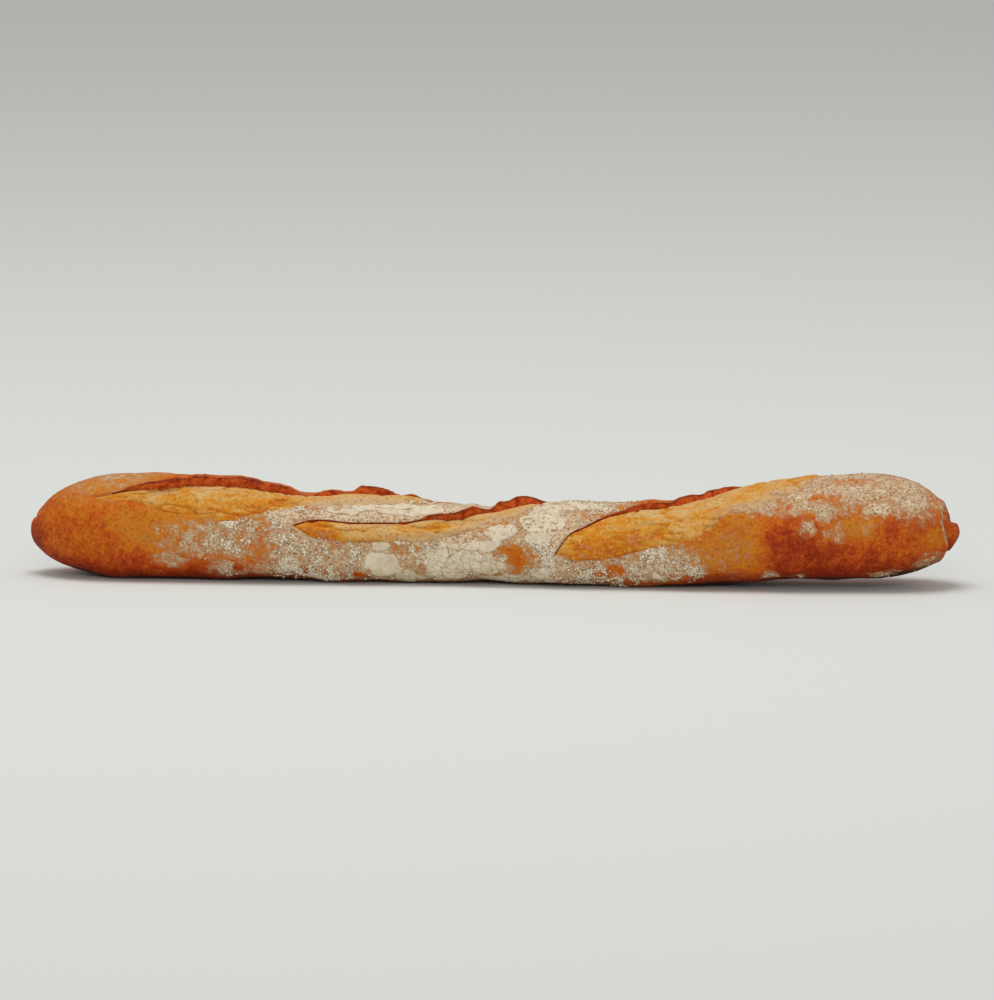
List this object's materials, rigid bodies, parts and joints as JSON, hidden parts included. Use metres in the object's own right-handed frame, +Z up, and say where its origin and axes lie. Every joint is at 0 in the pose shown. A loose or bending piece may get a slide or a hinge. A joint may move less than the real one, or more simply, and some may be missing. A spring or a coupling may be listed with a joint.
{
  "type": "baguette",
  "caption": "Long slim loaf of crusty bread with tapered ends, slanting cuts that open below raised ears, and a flattened base.",
  "frame": {"origin": "middle of the loaf's outline seen from above, on the surface that it rests on", "axes": "+X along the loaf, +Z up, -Y towards the side that the cuts open to"},
  "size_m": [0.58, 0.074, 0.0703],
  "materials": {
    "crust": "dull baked crust dusted with flour"
  },
  "bodies": {
    "root": {"loaf": "crust"}
  },
  "joints": []
}
